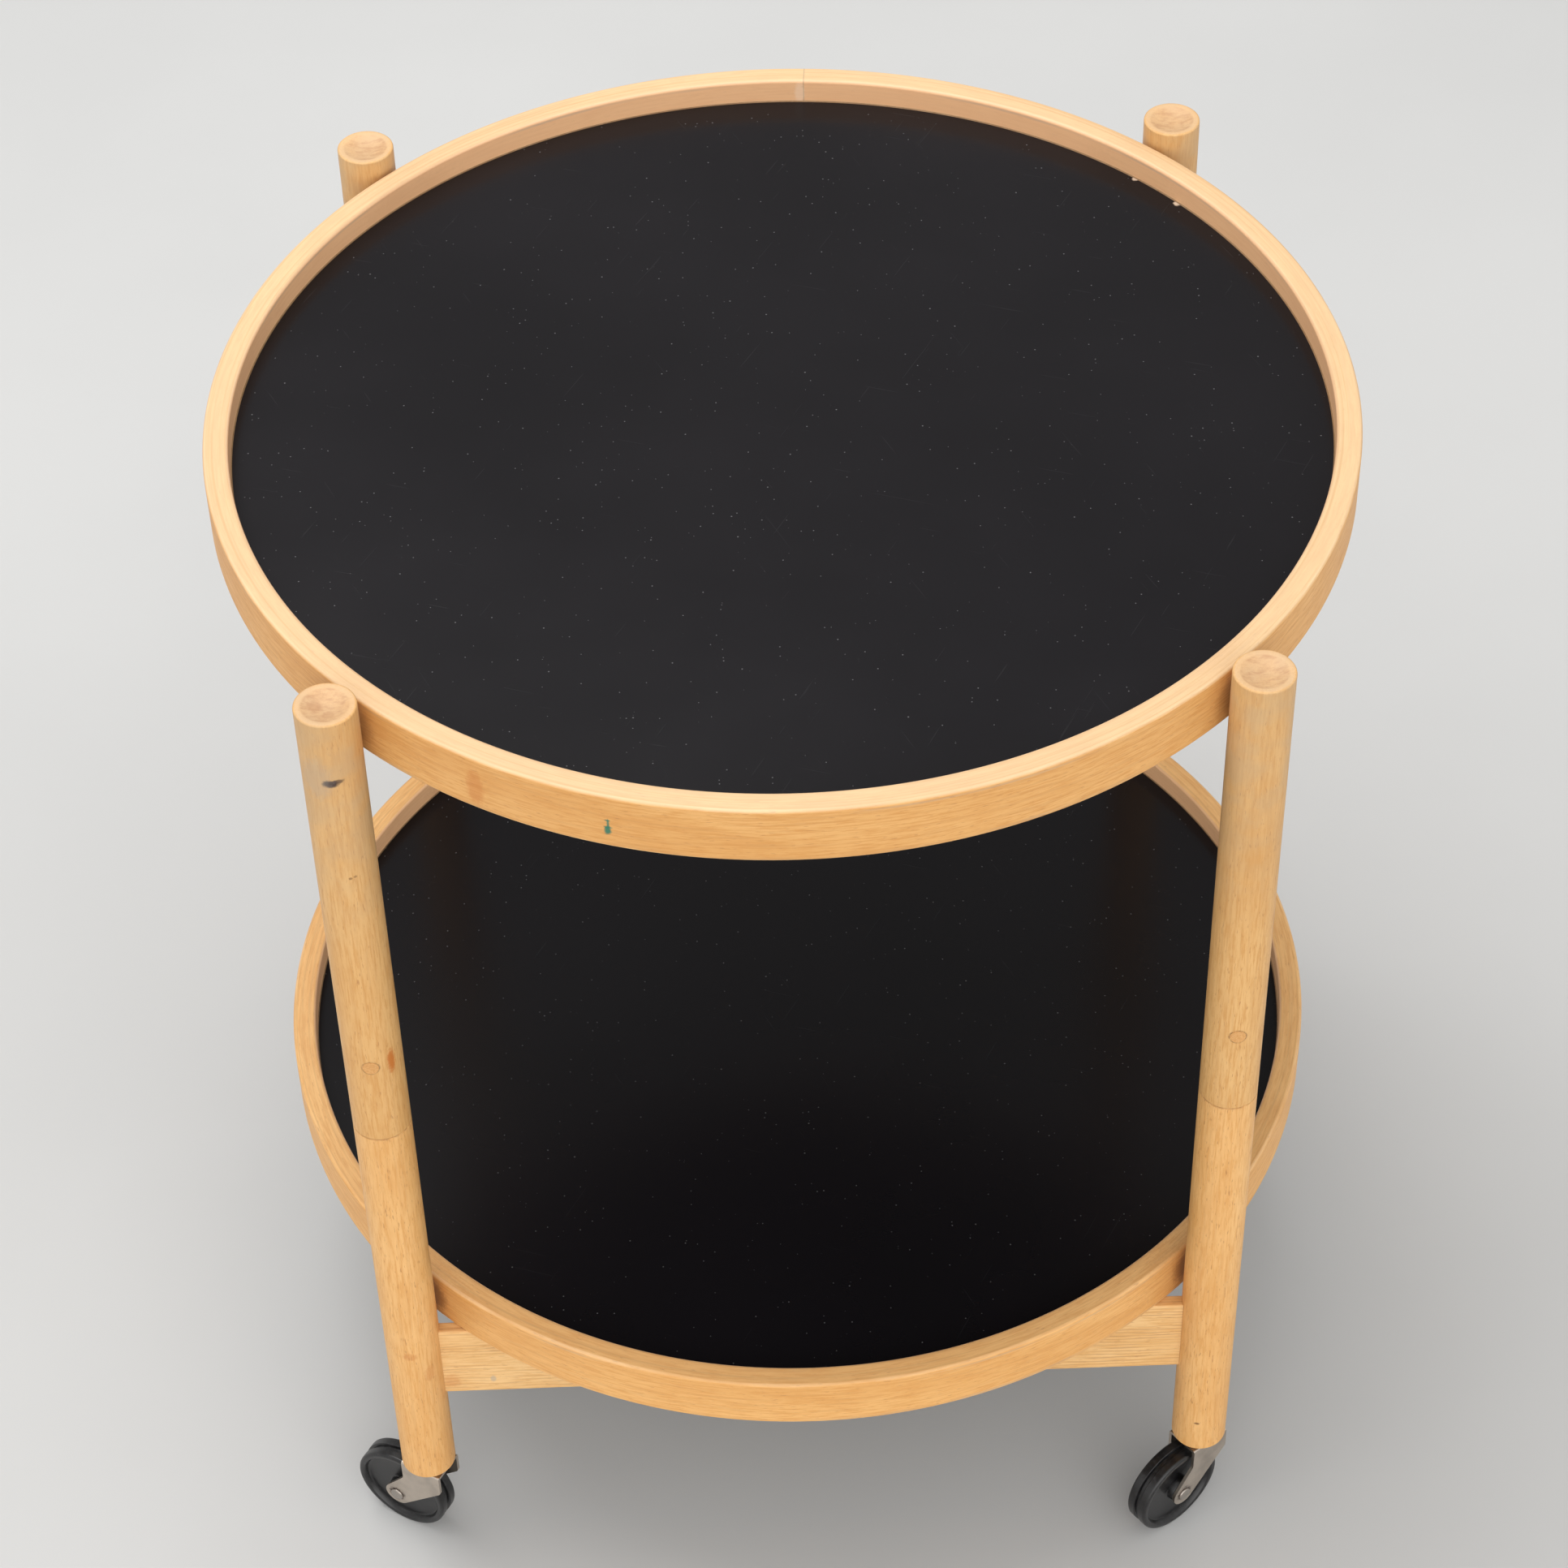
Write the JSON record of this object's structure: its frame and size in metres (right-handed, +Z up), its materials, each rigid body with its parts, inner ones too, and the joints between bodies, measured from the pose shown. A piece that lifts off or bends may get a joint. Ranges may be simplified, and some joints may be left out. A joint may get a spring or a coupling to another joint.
{
  "type": "serving trolley",
  "caption": "Serving trolley with two loose round rimmed trays between round legs that meet at a swivel seam, on trailing swivel casters.",
  "frame": {"origin": "on the floor under the middle of the trays", "axes": "+Z up; +X to the right and +Y to the back as the front bar is faced"},
  "size_m": [0.5, 0.5, 0.5615],
  "materials": {
    "leg_beech": "oiled",
    "spigot_beech": "bare",
    "pin_beech": "oiled",
    "bar_beech": "oiled",
    "rim_beech": "oiled",
    "core_board": "bare",
    "upper_laminate": "matt",
    "lower_laminate": "matt",
    "sleeve_steel": "plain",
    "fork_nickel": "satin nickel",
    "rivet_steel": "plain",
    "wheel_black": "scuffed"
  },
  "bodies": {
    "frame": {"leg_upper_front_left": "leg_beech", "leg_lower_front_left": "leg_beech", "swivel_spigot_front_left": "spigot_beech", "spigot_pin_front_left": "pin_beech", "caster_sleeve_front_left": "sleeve_steel", "leg_upper_front_right": "leg_beech", "leg_lower_front_right": "leg_beech", "swivel_spigot_front_right": "spigot_beech", "spigot_pin_front_right": "pin_beech", "caster_sleeve_front_right": "sleeve_steel", "leg_upper_back_left": "leg_beech", "leg_lower_back_left": "leg_beech", "swivel_spigot_back_left": "spigot_beech", "spigot_pin_back_left": "pin_beech", "caster_sleeve_back_left": "sleeve_steel", "leg_upper_back_right": "leg_beech", "leg_lower_back_right": "leg_beech", "swivel_spigot_back_right": "spigot_beech", "spigot_pin_back_right": "pin_beech", "caster_sleeve_back_right": "sleeve_steel", "lower_bar_front": "bar_beech", "lower_bar_back": "bar_beech", "upper_bar_left": "bar_beech", "upper_bar_right": "bar_beech"},
    "upper_tray": {"upper_tray_rim": "rim_beech", "upper_tray_board_core": "core_board", "upper_tray_top_laminate": "upper_laminate", "upper_tray_bottom_laminate": "upper_laminate"},
    "lower_tray": {"lower_tray_rim": "rim_beech", "lower_tray_board_core": "core_board", "lower_tray_top_laminate": "lower_laminate", "lower_tray_bottom_laminate": "lower_laminate"},
    "caster_front_left": {"caster_stem_front_left": "sleeve_steel", "caster_fork_front_left": "fork_nickel", "caster_axle_front_left": "rivet_steel"},
    "wheel_front_left": {"caster_wheel_front_left": "wheel_black"},
    "caster_front_right": {"caster_stem_front_right": "sleeve_steel", "caster_fork_front_right": "fork_nickel", "caster_axle_front_right": "rivet_steel"},
    "wheel_front_right": {"caster_wheel_front_right": "wheel_black"},
    "caster_back_left": {"caster_stem_back_left": "sleeve_steel", "caster_fork_back_left": "fork_nickel", "caster_axle_back_left": "rivet_steel"},
    "wheel_back_left": {"caster_wheel_back_left": "wheel_black"},
    "caster_back_right": {"caster_stem_back_right": "sleeve_steel", "caster_fork_back_right": "fork_nickel", "caster_axle_back_right": "rivet_steel"},
    "wheel_back_right": {"caster_wheel_back_right": "wheel_black"}
  },
  "joints": [
    {"name": "upper_tray_lift", "type": "slide", "parent": "frame", "child": "upper_tray", "axis": [0, 0, 1], "range_m": [0, 0.12]},
    {"name": "lower_tray_lift", "type": "slide", "parent": "frame", "child": "lower_tray", "axis": [0, 0, 1], "range_m": [0, 0.25]},
    {"name": "caster_swivel_front_left", "type": "hinge", "parent": "frame", "child": "caster_front_left", "pos_m": [-0.18752, -0.18752, 0.0555], "axis": [0, 0, 1], "continuous": true},
    {"name": "wheel_spin_front_left", "type": "hinge", "parent": "caster_front_left", "child": "wheel_front_left", "pos_m": [-0.20107, -0.17939, 0.0245], "axis": [-0.515, -0.8572, 0], "continuous": true},
    {"name": "caster_swivel_front_right", "type": "hinge", "parent": "frame", "child": "caster_front_right", "pos_m": [0.18752, -0.18752, 0.0555], "axis": [0, 0, 1], "continuous": true},
    {"name": "wheel_spin_front_right", "type": "hinge", "parent": "caster_front_right", "child": "wheel_front_right", "pos_m": [0.17507, -0.19725, 0.0245], "axis": [0.6157, -0.788, 0], "continuous": true},
    {"name": "caster_swivel_back_left", "type": "hinge", "parent": "frame", "child": "caster_back_left", "pos_m": [-0.18752, 0.18752, 0.0555], "axis": [0, 0, 1], "continuous": true},
    {"name": "wheel_spin_back_left", "type": "hinge", "parent": "caster_back_left", "child": "wheel_back_left", "pos_m": [-0.20255, 0.19241, 0.0245], "axis": [-0.309, -0.9511, 0], "continuous": true},
    {"name": "caster_swivel_back_right", "type": "hinge", "parent": "frame", "child": "caster_back_right", "pos_m": [0.18752, 0.18752, 0.0555], "axis": [0, 0, 1], "continuous": true},
    {"name": "wheel_spin_back_right", "type": "hinge", "parent": "caster_back_right", "child": "wheel_back_right", "pos_m": [0.20237, 0.19293, 0.0245], "axis": [-0.342, 0.9397, 0], "continuous": true}
  ]
}
